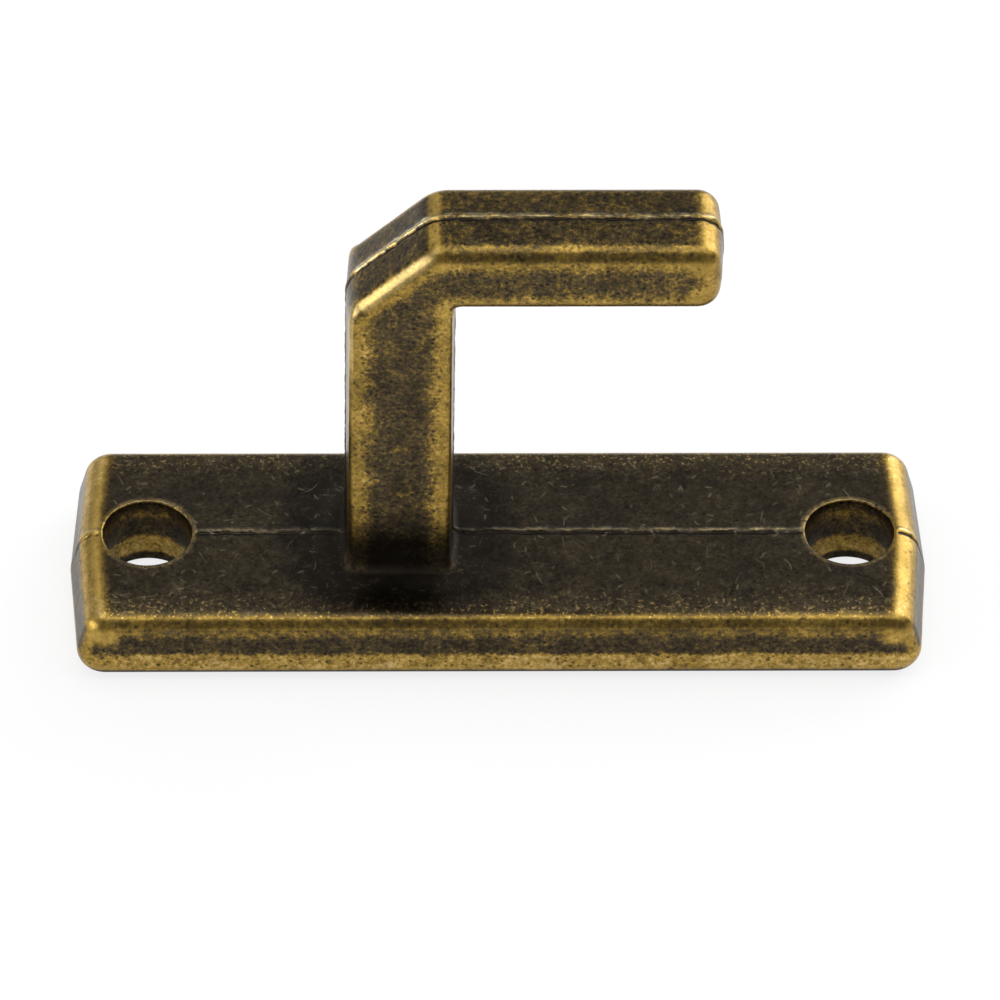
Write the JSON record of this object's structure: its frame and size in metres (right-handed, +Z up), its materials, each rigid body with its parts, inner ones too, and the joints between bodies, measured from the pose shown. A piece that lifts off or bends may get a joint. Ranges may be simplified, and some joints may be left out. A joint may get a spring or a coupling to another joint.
{
  "type": "box hasp hook",
  "caption": "Fixed hook of a box hasp: a bar base with a screw hole near each end and a post that carries an overhanging arm for the hasp's loop, cast in one piece.",
  "frame": {"origin": "centre of the base's underside, midway between the screw holes", "axes": "+X along the base, the way the arm points; +Y across the base, to the back; +Z up from the surface that the base is screwed to"},
  "size_m": [0.0342, 0.01, 0.0207],
  "materials": {
    "antique_bronze": "antique bronze plating: dark brown patina on the flats, brass worn bright along the edges"
  },
  "bodies": {
    "root": {"hasp_hook": "antique_bronze"}
  },
  "joints": []
}
